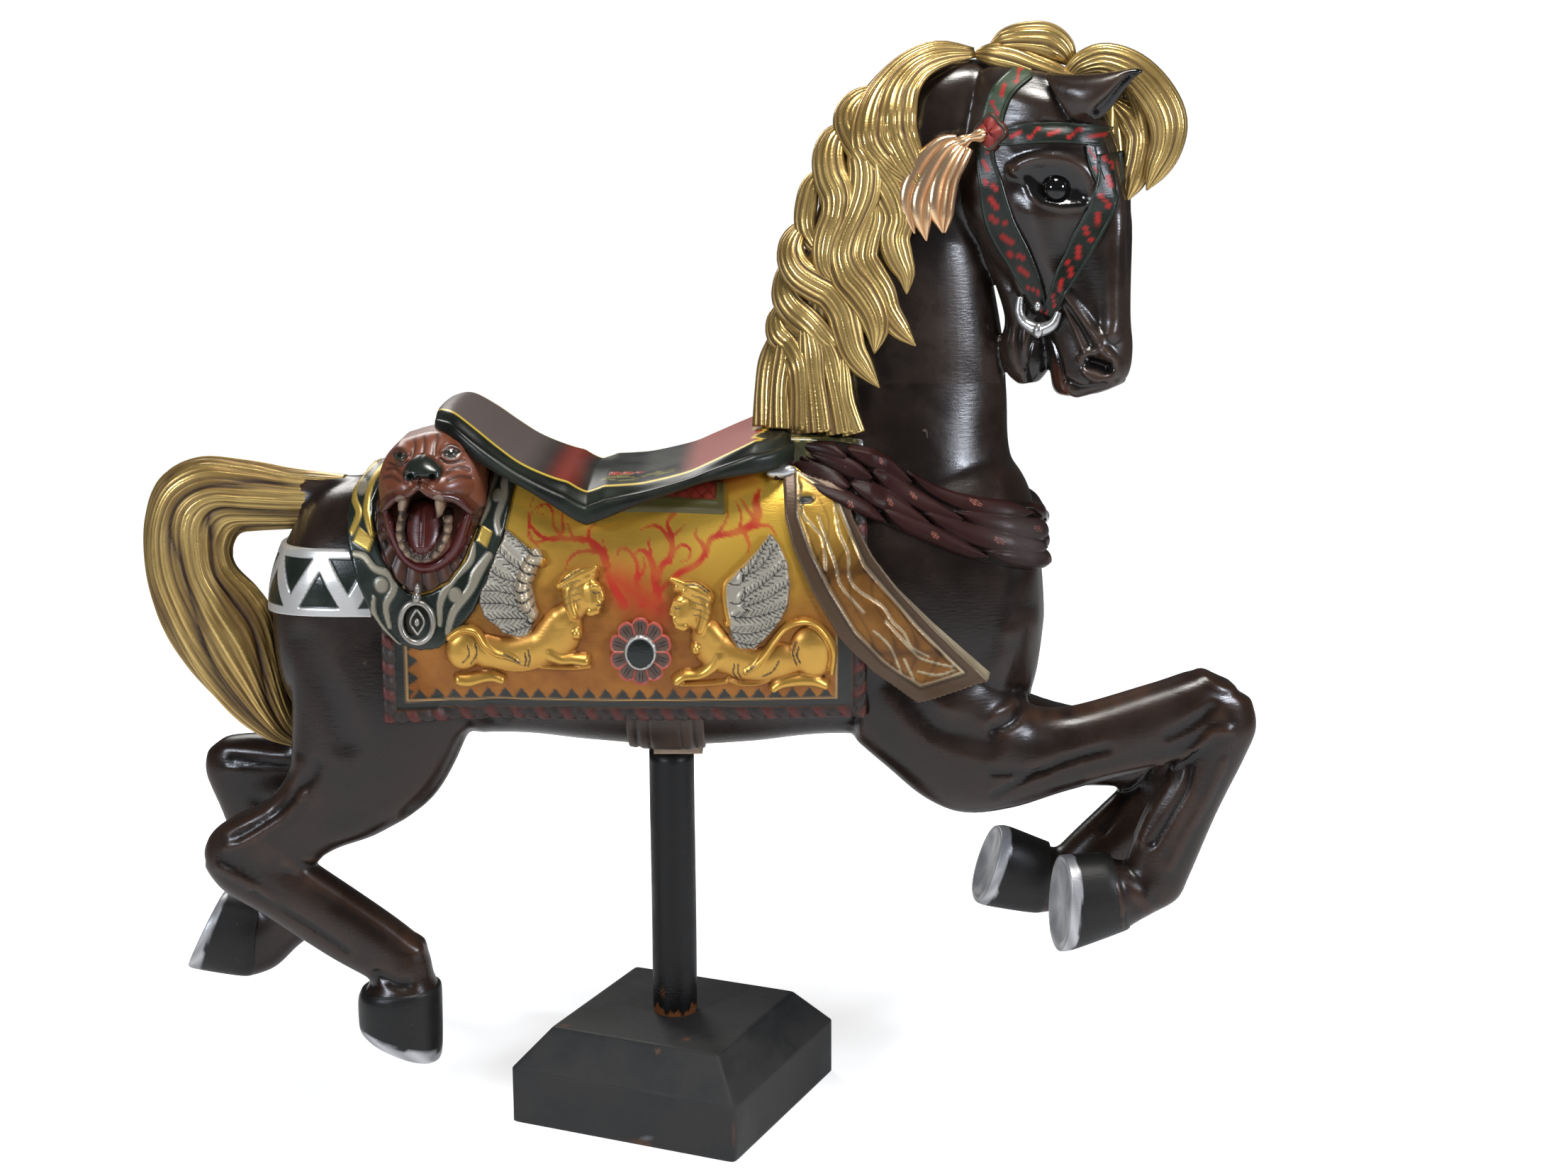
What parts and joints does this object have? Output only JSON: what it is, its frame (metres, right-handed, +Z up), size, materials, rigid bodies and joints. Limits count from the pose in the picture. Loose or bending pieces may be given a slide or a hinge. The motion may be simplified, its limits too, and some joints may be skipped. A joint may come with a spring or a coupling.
{
  "type": "carousel horse",
  "caption": "Carved and painted wooden carousel horse in a galloping pose, with gilded mane and tail, saddle and relief blanket, on a round post in a square plinth.",
  "frame": {"origin": "middle of the plinth's underside, on the post's axis", "axes": "+Z up along the post, +X the way the horse faces, -Y its near side, which carries the full decoration"},
  "size_m": [1.4889, 0.4456, 1.4635],
  "materials": {
    "black_wood": "matte black paint over wood, scuffed brown at the edges",
    "black_post": "satin black paint over a round timber post, chipped where it enters the plinth",
    "painted_horse": "satin dark brown paint over carved wood, with painted and gilded harness",
    "gold_leaf": "gold leaf over red-brown ground on carved wood, darkened in the grooves"
  },
  "bodies": {
    "root": {"plinth": "black_wood", "pole": "black_post", "body": "painted_horse", "neck_and_head": "painted_horse", "tail": "gold_leaf", "near_hind_leg": "painted_horse", "far_hind_leg": "painted_horse", "near_fore_leg": "painted_horse", "far_fore_leg": "painted_horse"}
  },
  "joints": []
}
